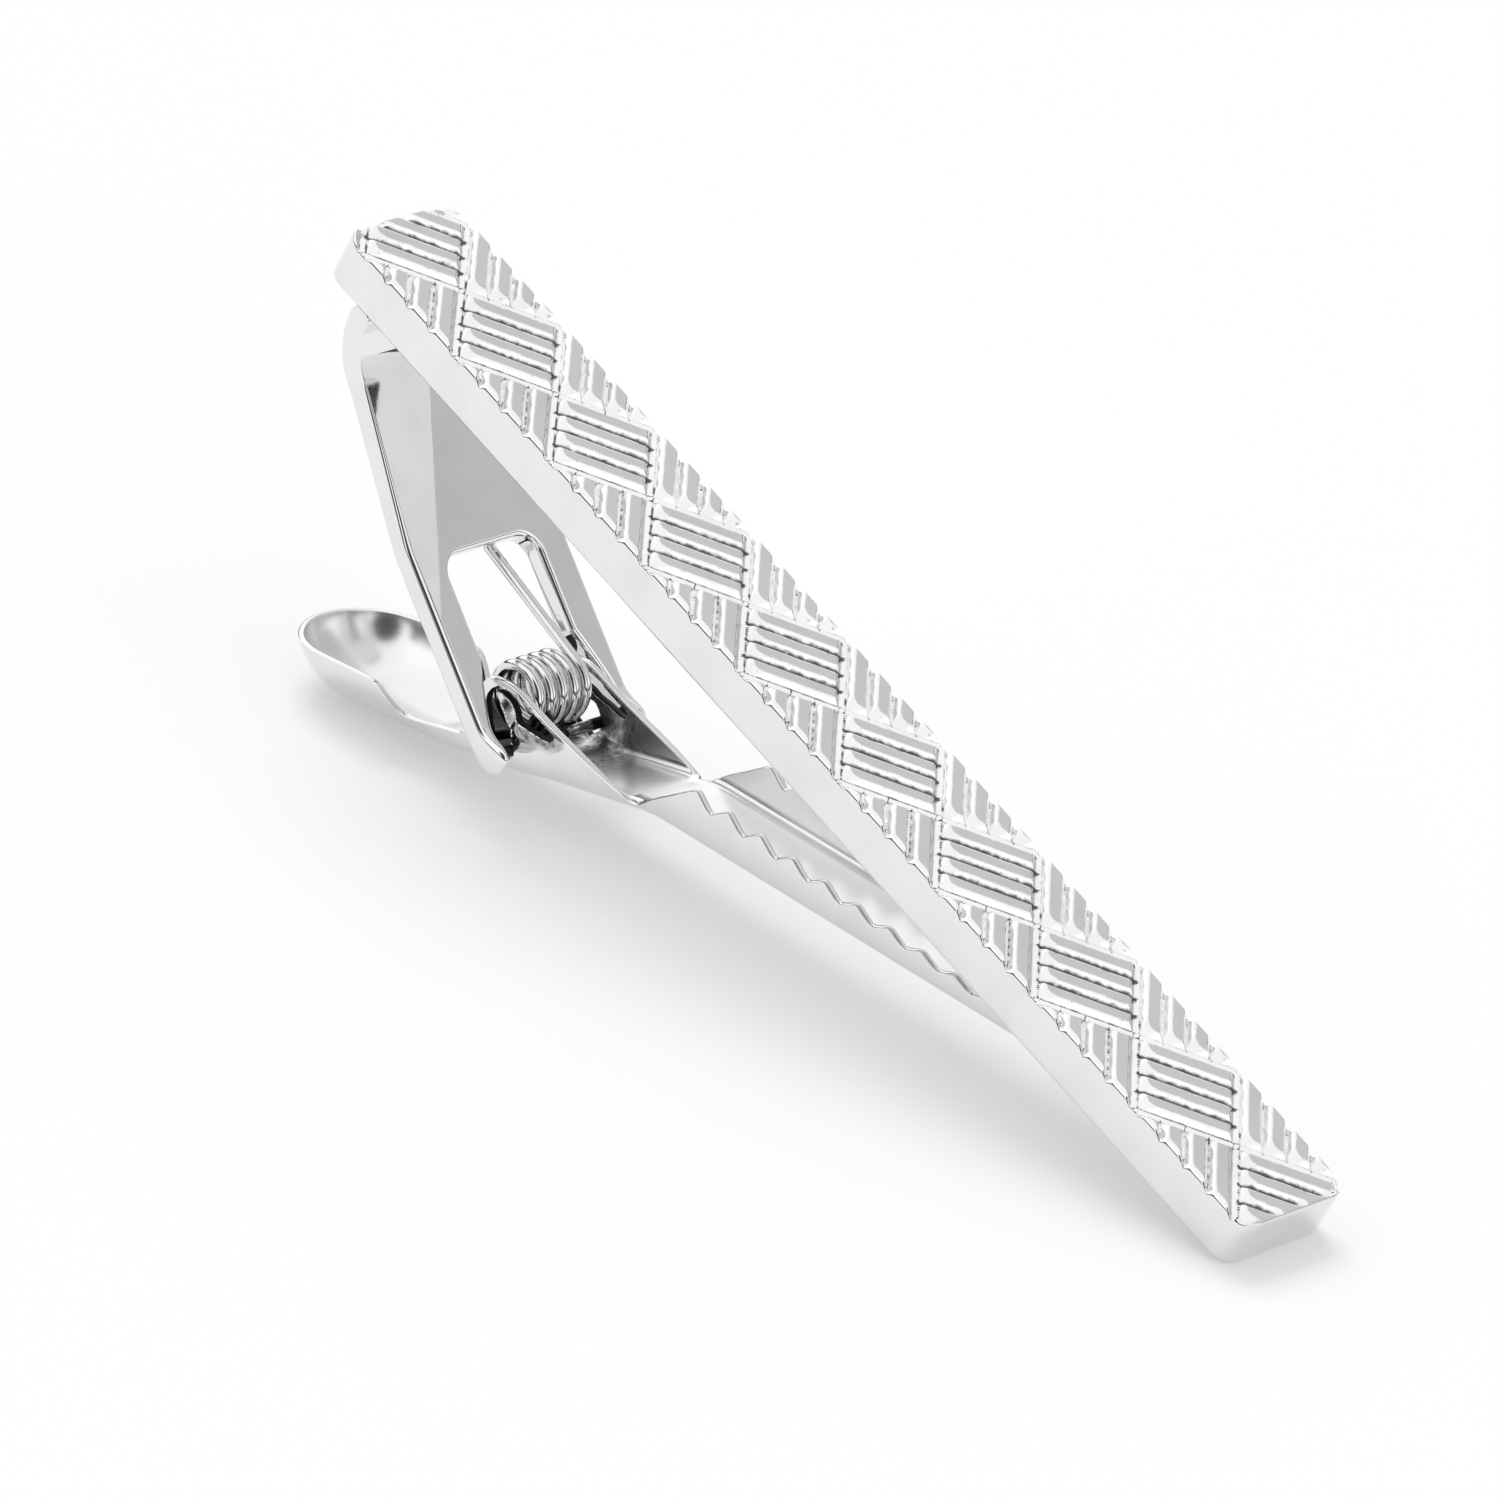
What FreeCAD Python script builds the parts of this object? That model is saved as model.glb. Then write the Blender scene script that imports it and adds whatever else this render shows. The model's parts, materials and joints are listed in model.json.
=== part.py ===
import FreeCAD, Part
import math
import os

# Tie clip: a ribbed bar, a bent strip soldered to its back, a toothed lever and a torsion spring.
# All sizes are millimetres.  The model is drawn with the bar level: x runs along the bar from the bracket's
# end, y across it, z up, with z = 0 on the bar's back.  At the end it is laid down as it rests on a table.

# Front bar
bar_length = 55.8
bar_width = 6.0
bar_thickness = 2.3
bar_corner_radius = 0.9
bar_back_edge_radius = 0.25

# Basket-weave ribs cut into the bar's face
first_corner_inset = 4.2
ribs_per_square = 4
groove_depth = 0.3
groove_width = 0.5

# Clasp bracket
bracket_inset = 1.95
strip_thickness = 1.0
strip_slant = math.radians(26.8)
strip_drop = 1.64
bend_radius = 2.2
hinge_reach = 16.8
leg_overhang = 0.8
rod_diameter = 0.84
strip_hinge_width = 8.4
flare_start = 1.2
flare_length = 7.0
strip_end_radius = 1.7
end_round_share = 0.49
window_length = 8.0
window_width = 5.1
window_corner_radius = 0.9
window_shoulder = 2.7
window_hinge_width = 6.9

# Clip lever
sheet_thickness = 0.5
lever_width = 4.65
rod_clearance = 0.05
belly_clearance = 0.08
belly_slant = math.radians(30.5)
belly_length = 7.04
jaw_slant = math.radians(18.4)
jaw_length = 20.9
lever_bend_radius = 7.0
lever_edge_radius = 0.7
cheek_height = 3.68
cheek_back = 1.76
cheek_slope_length = 1.0
cheek_corner_radius = 0.9
neck_wall = 0.9
waist_height = 0.62
waist_radius = 0.7
waist_ramp = 1.5

# Jaw teeth
tooth_count = 11
tooth_pitch = 1.76
first_tooth = 2.15
tooth_height_near_waist = 2.28
tooth_height_at_tip = 0.92
tooth_depth_near_waist = 0.66
tooth_depth_at_tip = 0.28
tooth_round_radius = 0.12
jaw_gap = 0.12

# Openings in the cheeks, placed along and above the belly's foot
opening_back = 1.41
opening_back_height = 2.4
opening_apex = 1.1
opening_apex_height = 3.12
opening_front = 2.1
opening_front_height = 1.85
opening_corner_radius = 0.15
tongue_root = 0.25
tongue_root_height = 1.95
tongue_width = 0.4
tongue_reach = 0.9
tongue_tip_height = 2.8
tongue_tip_radius = 0.05

# Finger dish
neck_length = 4.76
dish_slant = math.radians(23.84)
dish_length = 5.47
dish_radius = 3.17
dish_depth = 2.55
dish_rim_start = 2.5
dish_rim_end = 1.3
dish_lip_depth = 1.38
dish_drop = 0.55
dish_rim_radius = 0.8

# Torsion spring
wire_diameter = 0.45
coil_diameter = 2.75
coil_turns = 2
coil_length = 2.74
coil_start = -1.54
coil_lean = math.radians(57.2)
coil_clearance = 0.275
long_leg_slant = math.radians(-5.6)
long_leg_length = 6.9
short_leg_slant = math.radians(50.0)
short_leg_length = 2.9

# One overrun serves all cuts
overrun = 3.0

Vector = FreeCAD.Vector
ALONG = Vector(1, 0, 0)
ACROSS = Vector(0, 1, 0)
UP = Vector(0, 0, 1)


def side_axes(slant):
    """Two unit vectors of the side view: one rising along x by the slant, one square to it."""
    along = Vector(math.cos(slant), 0, math.sin(slant))
    square = Vector(-math.sin(slant), 0, math.cos(slant))
    return along, square


def rounded_edges(points, radii, closed=True):
    """Straight runs between points, with a tangent arc of the given radius at each corner."""
    count = len(points)
    starts = []
    ends = []
    arcs = []
    for i, corner in enumerate(points):
        if radii[i] == 0 or (not closed and i in (0, count - 1)):
            starts.append(corner)
            ends.append(corner)
            arcs.append(None)
            continue
        back = (points[i - 1] - corner).normalize()
        ahead = (points[(i + 1) % count] - corner).normalize()
        half = back.getAngle(ahead) / 2
        reach = radii[i] / math.tan(half)
        middle = (back + ahead).normalize()
        inner = corner + middle * (radii[i] / math.sin(half) - radii[i])
        starts.append(corner + back * reach)
        ends.append(corner + ahead * reach)
        arcs.append(inner)
    edges = []
    for i in range(count):
        if arcs[i] is not None:
            edges.append(Part.Arc(starts[i], arcs[i], ends[i]).toShape())
        if i < count - 1 or closed:
            edges.append(Part.LineSegment(ends[i], starts[(i + 1) % count]).toShape())
    return edges


def prism(points, radii, direction):
    """A closed outline with rounded corners, carried along a direction."""
    return Part.Face(Part.Wire(rounded_edges(points, radii))).extrude(direction)


def across_prism(points, radii, width):
    """A side-view outline carried across the clip, centred on y = 0."""
    start = ACROSS * (-width / 2)
    return prism([p + start for p in points], radii, ACROSS * width)


def across_rod(centre, radius, width):
    """A round rod across the clip, centred on y = 0."""
    return Part.makeCylinder(radius, width, centre - ACROSS * (width / 2), ACROSS)


# Places that several pieces share
strip_along, strip_square = side_axes(-strip_slant)
strip_corner = Vector(bracket_inset + strip_thickness, 0, -strip_drop)
hinge = strip_corner + strip_along * hinge_reach - strip_square * (strip_thickness / 2)
rod_radius = rod_diameter / 2
belly_along, belly_square = side_axes(belly_slant)
jaw_along, jaw_square = side_axes(jaw_slant)
dish_along, dish_square = side_axes(dish_slant)
belly_offset = rod_radius + belly_clearance + sheet_thickness
belly_foot = hinge - belly_square * belly_offset
waist_knee = belly_foot + belly_along * belly_length
jaw_tip = waist_knee + jaw_along * jaw_length
neck_knee = belly_foot - belly_along * neck_length
dish_foot = neck_knee - dish_square * dish_drop
coil_axis_reach = rod_radius + coil_clearance + coil_diameter / 2
coil_centre = hinge + Vector(-math.sin(coil_lean), 0, math.cos(coil_lean)) * coil_axis_reach


def groove(centre, direction, length):
    """A V-shaped cutter lying along a direction of the bar's face."""
    sideways = UP.cross(direction)
    slope = groove_width / 2 / groove_depth
    half_top = (groove_depth + overrun) * slope
    bottom = centre - UP * groove_depth
    top = centre + UP * overrun
    corners = [bottom, top + sideways * half_top, top - sideways * half_top]
    start = direction * (-length / 2)
    return prism([c + start for c in corners], [0, 0, 0], direction * length)


def basket_weave(top):
    """Grooves of a row of squares standing on their corners, each with ribs square to its neighbours'."""
    side = bar_width / math.sqrt(2)
    rising = Vector(1, 1, 0).normalize()
    falling = Vector(1, -1, 0).normalize()
    cutters = []
    corner_count = int(bar_length / bar_width) + 2
    for k in range(-1, corner_count):
        corner = Vector(first_corner_inset + k * bar_width, 0, top)
        for direction in (rising, falling):
            cutters.append(groove(corner, direction, 2 * side))
        for j in range(1, ribs_per_square):
            offset = (j / ribs_per_square - 1 / 2) * side
            middle = corner + ALONG * (bar_width / 2)
            cutters.append(groove(middle + falling * offset, rising, side))
            for edge in (-1, 1):
                outer = corner + ACROSS * (edge * bar_width / 2)
                cutters.append(groove(outer + rising * offset, falling, side))
    return cutters


def make_front_bar():
    """A flat bar with round corners, soft back edges and the ribbed face."""
    half = ACROSS * (bar_width / 2)
    end = ALONG * bar_length
    outline = [-half, end - half, end + half, half]
    bar = prism(outline, [bar_corner_radius] * len(outline), UP * bar_thickness)
    back_edges = [e for e in bar.Edges if e.BoundBox.ZMax < bar_thickness / 2]
    bar = bar.makeFillet(bar_back_edge_radius, back_edges)
    return bar.cut(basket_weave(bar_thickness))


def strip_outline(half_width, end):
    """Plan of the strip in its slanted plane: narrow at the bar, flaring to the hinge, round at the end."""
    bar_half = bar_width / 2
    flare_end = flare_start + flare_length
    flare_radius = flare_length / 2
    right = [(-hinge_reach, bar_half, 0), (flare_start, bar_half, flare_radius),
             (flare_end, half_width, flare_radius), (end, half_width, strip_end_radius)]
    left = [(a, -b, r) for a, b, r in reversed(right)]
    corners = right + left
    points = [strip_corner + strip_along * a + ACROSS * b for a, b, r in corners]
    return points, [r for a, b, r in corners]


def make_clasp_bracket():
    """A strip standing on the bar's back, bent and slanted to the hinge, with a window and a cross rod."""
    top = Vector(bracket_inset, 0, 0)
    corner = strip_corner
    outer_corner = corner - Vector(1, 0, math.tan((math.pi / 2 - strip_slant) / 2)) * strip_thickness
    end_up = corner + strip_along * (hinge_reach + leg_overhang)
    end_down = end_up - strip_square * strip_thickness
    side = [top, top + ALONG * strip_thickness, corner, end_up, end_down, outer_corner]
    end_round = strip_thickness * end_round_share
    radii = [0, 0, bend_radius, end_round, end_round, bend_radius + strip_thickness]
    strip = across_prism(side, radii, strip_hinge_width)
    plan, plan_radii = strip_outline(strip_hinge_width / 2, hinge_reach + leg_overhang)
    depth = strip_square * (hinge_reach + overrun)
    plan_solid = prism([p - depth for p in plan], plan_radii, depth * 2)
    strip = strip.common(plan_solid)
    r = window_corner_radius
    low = corner - strip_square * overrun
    narrow = window_width / 2
    wide = window_hinge_width / 2
    shoulder = hinge_reach - window_shoulder
    right = [(hinge_reach - window_length, narrow, r), (shoulder, narrow, r),
             (shoulder + r, wide, r), (hinge_reach + overrun, wide, 0)]
    rim = right + [(a, -b, c) for a, b, c in reversed(right)]
    window = prism([low + strip_along * a + ACROSS * b for a, b, c in rim], [c for a, b, c in rim],
                   strip_square * 2 * overrun)
    rod = across_rod(hinge, rod_radius, (window_hinge_width + strip_hinge_width) / 2)
    return strip.cut(window).fuse(rod).removeSplitter()


def tooth_line():
    """Corners of the toothed edge, from the waist's ramp to the jaw's tip."""
    def under_bar(reach):
        place = waist_knee + jaw_along * reach
        return (-jaw_gap - place.z) / jaw_square.z

    points = []
    radii = []
    last = tooth_count - 1
    for i in range(tooth_count):
        share = i / last
        height = tooth_height_near_waist + (tooth_height_at_tip - tooth_height_near_waist) * share
        depth = tooth_depth_near_waist + (tooth_depth_at_tip - tooth_depth_near_waist) * share
        reach = first_tooth + tooth_pitch * i
        height = min(height, under_bar(reach))
        points.append(waist_knee + jaw_along * reach + jaw_square * height)
        radii.append(tooth_round_radius)
        if i < last:
            valley = height - depth
            points.append(waist_knee + jaw_along * (reach + tooth_pitch / 2) + jaw_square * valley)
            radii.append(tooth_round_radius)
    tip_height = min(points[-1].sub(waist_knee).dot(jaw_square), under_bar(jaw_length))
    points.append(jaw_tip + jaw_square * tip_height)
    return points, radii + [0]


def lever_outline():
    """Side view that trims the channel: jaw tip, teeth, waist, cheek and neck, open below the floor."""
    neck_end = dish_foot - dish_along * dish_rim_end
    teeth, teeth_radii = tooth_line()
    waist_top = waist_knee + belly_square * waist_height - belly_along * (waist_ramp / 2)
    cheek_top = belly_foot - belly_along * cheek_back + belly_square * cheek_height
    cheek_foot = belly_foot - belly_along * (cheek_back + cheek_slope_length) + belly_square * neck_wall
    neck_top = neck_end + dish_square * dish_lip_depth
    points = [neck_end - dish_square * overrun, jaw_tip - jaw_square * overrun]
    points += list(reversed(teeth))
    points += [waist_top, cheek_top, cheek_foot, neck_top]
    radii = [0, 0] + list(reversed(teeth_radii)) + [waist_radius, cheek_corner_radius, cheek_corner_radius, 0]
    return points, radii


def trough(lift, width, edge_radius):
    """A solid that follows the lever's floor at a lift above it, with its two long lower corners rounded."""
    def knee(spot, before, after):
        middle = (before + after).normalize()
        return spot + middle * (lift / middle.dot(before))

    points = [neck_knee - dish_along * (dish_rim_end + overrun) + dish_square * lift,
              knee(neck_knee, dish_square, belly_square), knee(waist_knee, belly_square, jaw_square),
              jaw_tip + jaw_along * overrun + jaw_square * lift]
    cover = UP * (cheek_height + dish_radius + overrun)
    line = Part.makePolygon(points)
    radii = [0, lever_bend_radius - lift, lever_bend_radius + lift, 0, 0, 0]
    solid = across_prism(points + [points[-1] + cover, points[0] + cover], radii, width)
    near = sheet_thickness / 2
    edges = []
    for edge in solid.Edges:
        middle = edge.valueAt((edge.FirstParameter + edge.LastParameter) / 2)
        spot = Part.Vertex(middle.x, 0, middle.z)
        if abs(middle.y) > width / 2 - near and spot.distToShape(line)[0] < near:
            edges.append(edge)
    return solid.makeFillet(edge_radius, edges)


def cheek_opening():
    """The seat of the cross rod and the lanced opening above it, with a tongue standing into it."""
    def on_belly(reach, height):
        return belly_foot + belly_along * reach + belly_square * height

    bore = rod_radius + rod_clearance
    width = lever_width + overrun
    points = [on_belly(-bore, belly_offset), on_belly(bore, belly_offset),
              on_belly(tongue_root - tongue_width, tongue_root_height - tongue_width),
              on_belly(-tongue_reach, tongue_tip_height), on_belly(tongue_root, tongue_root_height),
              on_belly(opening_front, opening_front_height), on_belly(-opening_apex, opening_apex_height),
              on_belly(-opening_back, opening_back_height)]
    r = opening_corner_radius
    lanced = across_prism(points, [0, 0, 0, tongue_tip_radius, 0, r, r, r], width)
    return [across_rod(hinge, bore, width), lanced]


def bowl(radius):
    """A round-ended trough along the dish, of the given radius about the dish's axis."""
    axis_start = dish_foot + dish_square * dish_radius
    axis_end = axis_start - dish_along * dish_length
    body = Part.makeCylinder(radius, dish_length, axis_start, -dish_along)
    return body.fuse([Part.makeSphere(radius, axis_start), Part.makeSphere(radius, axis_end)])


def dish_side():
    """Side view of the part of the bowl that is kept: its rim dips towards the neck."""
    run_in = math.sqrt(dish_radius ** 2 - (dish_radius - dish_drop) ** 2)
    far = dish_length + dish_radius + overrun
    corners = [(-run_in, -overrun, 0), (far, -overrun, 0), (far, dish_depth, 0),
               (dish_rim_start, dish_depth, dish_rim_radius), (dish_rim_end, dish_lip_depth, dish_rim_radius),
               (-run_in, dish_drop + sheet_thickness, 0)]
    points = [dish_foot - dish_along * a + dish_square * b for a, b, r in corners]
    return across_prism(points, [r for a, b, r in corners], 2 * (dish_radius + overrun))


def make_clip_lever():
    """One stamping: toothed channel with open cheeks, neck and finger dish."""
    points, radii = lever_outline()
    outer = trough(0, lever_width, lever_edge_radius).common(across_prism(points, radii, 2 * lever_width))
    inner_width = lever_width - 2 * sheet_thickness
    hollow = trough(sheet_thickness, inner_width, lever_edge_radius - sheet_thickness)
    channel = outer.cut(hollow).cut(cheek_opening())
    dish = bowl(dish_radius).common(dish_side())
    return channel.fuse(dish).cut(bowl(dish_radius - sheet_thickness)).removeSplitter()


def biarc(start, start_way, end, end_way):
    """Two arcs that join smoothly and leave and arrive in the given directions."""
    gap = end - start
    ways = start_way + end_way
    bend = 2 * (1 - start_way.dot(end_way))
    lean = gap.dot(ways)
    reach = (-lean + math.sqrt(lean * lean + bend * gap.dot(gap))) / bend
    first = start + start_way * reach
    second = end - end_way * reach
    joint = (first + second) / 2
    return [tangent_arc(start, first, joint), tangent_arc(joint, second, end)]


def tangent_arc(start, corner, end):
    """The arc between two points whose end tangents meet at a corner."""
    chord_middle = (start + end) / 2
    half = (end - start).Length / 2
    tilt = (corner - start).getAngle(end - start)
    crown = chord_middle + (corner - chord_middle).normalize() * half * math.tan(tilt / 2)
    return Part.Arc(start, crown, end)


def spring_path():
    """Short leg, coil and long leg of the spring as straight runs and biarcs of about a quarter turn."""
    radius = (coil_diameter - wire_diameter) / 2
    first = -math.pi / 2 + short_leg_slant
    last = math.pi / 2 + long_leg_slant + 2 * math.pi * coil_turns
    steps = 4 * coil_turns + 2
    lead_in = (last - first) / steps / 2
    rise = coil_length / (last - first - lead_in)

    def across_coil(turn):
        if turn - first < lead_in:
            return rise * (turn - first) ** 2 / lead_in / 2, rise * (turn - first) / lead_in
        if last - turn < lead_in:
            return coil_length - rise * (last - turn) ** 2 / lead_in / 2, rise * (last - turn) / lead_in
        return rise * (turn - first - lead_in / 2), rise

    def on_coil(turn):
        place, slope = across_coil(turn)
        spot = Vector(radius * math.cos(turn), place + coil_start, radius * math.sin(turn))
        way = Vector(-radius * math.sin(turn), slope, radius * math.cos(turn)).normalize()
        return coil_centre + spot, way

    turns = [first + (last - first) * i / steps for i in range(steps + 1)]
    curves = []
    for a, b in zip(turns, turns[1:]):
        start, start_way = on_coil(a)
        end, end_way = on_coil(b)
        curves += biarc(start, start_way, end, end_way)
    foot, foot_way = on_coil(first)
    head, head_way = on_coil(last)
    curves.insert(0, Part.LineSegment(foot - foot_way * short_leg_length, foot))
    curves.append(Part.LineSegment(head, head + head_way * long_leg_length))
    return curves


def least_gap(curves):
    """Least clear distance of the wire to itself, between points a turn or more apart along it."""
    step = wire_diameter / 4
    points = []
    for curve in curves:
        count = max(2, int(curve.length() / step))
        points += curve.discretize(count)[:-1]
    apart = int(math.pi * coil_diameter / 2 / step)
    least = coil_length
    for i, p in enumerate(points):
        for q in points[i + apart:]:
            least = min(least, p.distanceToPoint(q))
    return least - wire_diameter


def make_torsion_spring():
    """One unbroken wire swept along the spring's path."""
    curves = spring_path()
    path = Part.Wire([c.toShape() for c in curves])
    start = curves[0].StartPoint
    way = (curves[0].EndPoint - start).normalize()
    section = Part.Wire(Part.Circle(start, way, wire_diameter / 2).toShape())
    spring = path.makePipeShell([section], True, False)
    ideal = math.pi * wire_diameter ** 2 / 4 * path.Length
    print("spring least gap %.3f, volume over section times length %.4f"
          % (least_gap(curves), spring.Volume / ideal))
    return spring


def rest_tilt():
    """Slope of the table under the clip, touching the finger dish and the bar's far back edge."""
    ball = dish_foot + dish_square * dish_radius - dish_along * dish_length
    edge = Vector(bar_length - bar_back_edge_radius, 0, bar_back_edge_radius)
    line = edge - ball
    slope = math.atan2(line.z, line.x)
    return slope - math.asin((bar_back_edge_radius - dish_radius) / line.Length)


def lay_down(shapes):
    """Turn the clip to its resting slope and set the origin under the middle of its box."""
    turn = FreeCAD.Placement(Vector(), FreeCAD.Rotation(ACROSS, math.degrees(rest_tilt())))
    turned = [shape.transformed(turn.toMatrix()) for shape in shapes.values()]
    box = Part.makeCompound(turned).optimalBoundingBox(False)
    shift = Vector(-box.Center.x, -box.Center.y, -box.ZMin)
    for shape in turned:
        shape.translate(shift)
    spot = turn.multVec(hinge) + shift
    print("table slope %.3f degrees, hinge at x %.4f z %.4f" % (math.degrees(rest_tilt()), spot.x, spot.z))
    print("box %.3f x %.3f x %.3f" % (box.XLength, box.YLength, box.ZLength))
    return dict(zip(shapes, turned))


os.makedirs("parts", exist_ok=True)
pieces = {"front_bar": make_front_bar(), "clasp_bracket": make_clasp_bracket(),
          "clip_lever": make_clip_lever(), "torsion_spring": make_torsion_spring()}
for name, solid in lay_down(pieces).items():
    print(name, "solids", len(solid.Solids), "valid", solid.isValid(), "volume %.3f" % solid.Volume)
    solid.exportStep("parts/" + name + ".step")
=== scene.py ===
import bpy
import bmesh
import json
import math
import numpy as np
from mathutils import Matrix, Vector


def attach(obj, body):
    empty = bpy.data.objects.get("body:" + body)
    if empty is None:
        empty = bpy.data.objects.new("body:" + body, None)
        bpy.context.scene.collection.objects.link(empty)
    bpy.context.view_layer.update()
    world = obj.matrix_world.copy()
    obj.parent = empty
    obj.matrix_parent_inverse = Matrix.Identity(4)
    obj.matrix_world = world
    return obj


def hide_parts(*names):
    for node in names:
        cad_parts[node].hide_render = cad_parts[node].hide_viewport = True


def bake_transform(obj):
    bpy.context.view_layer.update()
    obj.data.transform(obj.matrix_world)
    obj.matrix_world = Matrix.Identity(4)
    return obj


# Tie clip in polished plating: a basket-weave bar, a forked bracket, a toothed lever and a wound spring.
# Pieces are drawn in millimetres in the bar's own frame (x along the bar from the bracket's end, y across
# it, z up from its back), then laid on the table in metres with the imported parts.

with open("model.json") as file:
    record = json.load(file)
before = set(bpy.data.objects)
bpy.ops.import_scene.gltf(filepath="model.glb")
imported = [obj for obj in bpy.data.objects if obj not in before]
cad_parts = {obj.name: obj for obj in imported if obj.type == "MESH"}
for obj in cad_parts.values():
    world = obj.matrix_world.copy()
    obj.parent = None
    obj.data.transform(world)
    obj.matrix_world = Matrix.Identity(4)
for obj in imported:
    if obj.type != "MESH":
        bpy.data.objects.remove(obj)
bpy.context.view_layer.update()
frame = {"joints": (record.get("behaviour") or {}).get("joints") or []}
MM = 0.001
tiny = 1e-6

# Meshes: how near points are merged, in metres, and the angle from which an edge stays sharp
merge_distance = 1e-7
degenerate_distance = 1e-8
usual_sharp_angle = math.radians(40)
bar_sharp_angle = math.radians(30)

# The view: a long lens, turned a little about its own axis
view_azimuth = math.radians(38.349)
view_elevation = math.radians(26.328)
view_roll = math.radians(11.597)
view_distance = 481.38 * MM
view_target = Vector((-1.673, -2.265, 8.509)) * MM
lens_mm = 300.0
sensor_mm = 36.0
clip_near = 0.01
clip_far = 20.0

# Floor
floor_size = 3.0
floor_sink = 0.02 * MM
floor_grey = 0.5
floor_glow = 0.36
floor_roughness = 0.9

# Studio light: a broad lamp overhead, bright sides, a grey ceiling, a dark gap at the horizon
# and soft cards (direction, inner and outer degrees, grey)
sun_strength = 1.3
sun_spread = math.radians(35)
sun_from = (-0.6, 0.25, 1.0)
side_white = 1.25
ceiling_white = 1.1
side_top = 0.45
ceiling_start = 0.8
gap_grey = 0.06
gap_low = 0.16
gap_high = 0.27
gap_waver = 0.12
card_waver = 0.06
waver_scale = 7.0
studio_cards = [((0.12, 0.75, 0.62), 25, 42, 0.68),
                ((0.5, 0.7, 0.52), 5, 24, 0.58),
                ((0.35, -0.82, 0.45), 18, 30, 0.06),
                ((-0.5, -0.85, 0.1), 8, 20, 0.1)]

# Polished plating: sizes of its clouds, grain and ragged edges of painted shade per metre, and how strong
# they are
cloud_scale = 350.0
cloud_detail = 2
cloud_start = 0.35
cloud_full = 0.75
grain_scale = 6000.0
grain_detail = 4
ragged_scale = 3500.0
ragged_detail = 2
ragged_reach = 0.5
shade_start = 0.7
shade_full = 1.05
shade_roughness = 0.3
satin_full = 0.2
grain_roughness = 0.04
grain_height = 0.15
clouded_plating = (0.79, 0.79, 0.795)

# Finishes: colour of the plating and of its painted shade, gloss, ripple in metres, and satin inside
bar_finish = ((0.84, 0.84, 0.845), (0.10, 0.10, 0.10), 0.03, 2e-6, 0.0)
bracket_finish = ((0.83, 0.83, 0.835), (0.03, 0.03, 0.03), 0.02, 3e-6, 0.0)
lever_finish = ((0.83, 0.83, 0.835), (0.03, 0.03, 0.03), 0.03, 4e-6, 0.2)
spring_finish = ((0.80, 0.80, 0.805), (0.05, 0.05, 0.05), 0.06, 3e-6, 0.0)

# How the clip lies on the table
table_slope = math.radians(18.714)
hinge_spot = np.array(frame["joints"][0]["pos_m"])

# Front bar: its block, rolled edges and grid, then the ribs, with waves as (along, across, shift)
bar_length = 55.8
bar_width = 6.0
bar_thickness = 2.3
bar_corner_radius = 0.9
bar_back_edge_radius = 0.25
rim_width = 0.3
side_edge_radius = 0.28
far_edge_radius = 0.1
end_edge_radius = 0.12
wall_line = 1.75
face_steps_across = 80
rim_rings = 10
back_rings = 6
first_corner_inset = 4.2
ribs_per_square = 4
groove_depth = 0.3
groove_flank = 0.24
border_floor = 0.26
border_ledge = 0.14
rib_corner_radius = 0.5
rib_shoulder = 0.04
rib_waver = 0.008
rib_waves = ((5.1, 1.7, 0.0), (-2.2, 3.3, 1.0), (9.7, -4.1, 2.0), (2.9, 7.9, 0.0))
# Widths of the painted shade lines along short grooves, square borders and long grooves
groove_line = 0.06
border_line = 0.13
long_groove_line = 0.3
end_lip = 0.45

# Clasp bracket: the strip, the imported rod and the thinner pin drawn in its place, the legs, then the grid
bracket_inset = 1.95
strip_thickness = 1.0
strip_slant = math.radians(26.8)
strip_drop = 1.64
bend_radius = 2.2
hinge_reach = 16.8
leg_overhang = 0.8
rod_radius = 0.42
pin_radius = 0.24
strip_hinge_width = 8.4
flare_start = 1.2
flare_length = 7.0
window_length = 8.0
window_width = 5.1
window_corner_radius = 0.9
strip_edge_radius = 0.26
strip_eye_swell = 0.8
strip_eye_length = 2.0
leg_taper = 4.6
leg_taper_power = 1.5
leg_tip_width = 7.5
leg_round = 2.2
solder_sink = 0.1
nearly_all = 0.999
arc_steps = 25
top_steps = 16
shoulder_steps = 50
leg_steps = 80
leg_end_steps = 16
flat_steps = 60
edge_steps = 6
side_steps = 5
pin_rings = 41
pin_sides = 40

# Clip lever: sheet, belly and jaw, cheeks as (walk, height), neck and waist, teeth, then the dish
sheet_thickness = 0.5
lever_width = 4.65
belly_clearance = 0.08
belly_slant = math.radians(30.5)
belly_length = 7.04
jaw_slant = math.radians(18.4)
jaw_length = 20.9
lever_bend_radius = 7.0
lever_edge_reach = 0.5
lever_edge_rise = 1.6
inner_edge_radius = 0.35
skin_belly = 0.36
skin_dish = 0.26
cheek_height = 3.68
cheek_back = 1.76
cheek_slope_length = 1.0
cheek_shoulder = (-0.5, 3.62)
cheek_fall = [(0.12, 3.36), (0.65, 3.06), (1.7, 2.44)]
neck_wall = 0.9
neck_length = 4.76
waist_height = 0.16
waist_ramp = 1.5
tooth_count = 11
tooth_pitch = 1.76
first_tooth = 2.15
tooth_height_near_waist = 2.28
tooth_height_at_tip = 0.92
tooth_depth_near_waist = 0.66
tooth_depth_at_tip = 0.28
jaw_gap = 0.12
dish_slant = math.radians(23.84)
dish_length = 5.47
dish_radius = 3.17
dish_depth = 2.55
dish_rim_start = 2.5
dish_rim_end = 1.3
dish_lip_depth = 1.38
dish_drop = 0.55
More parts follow.
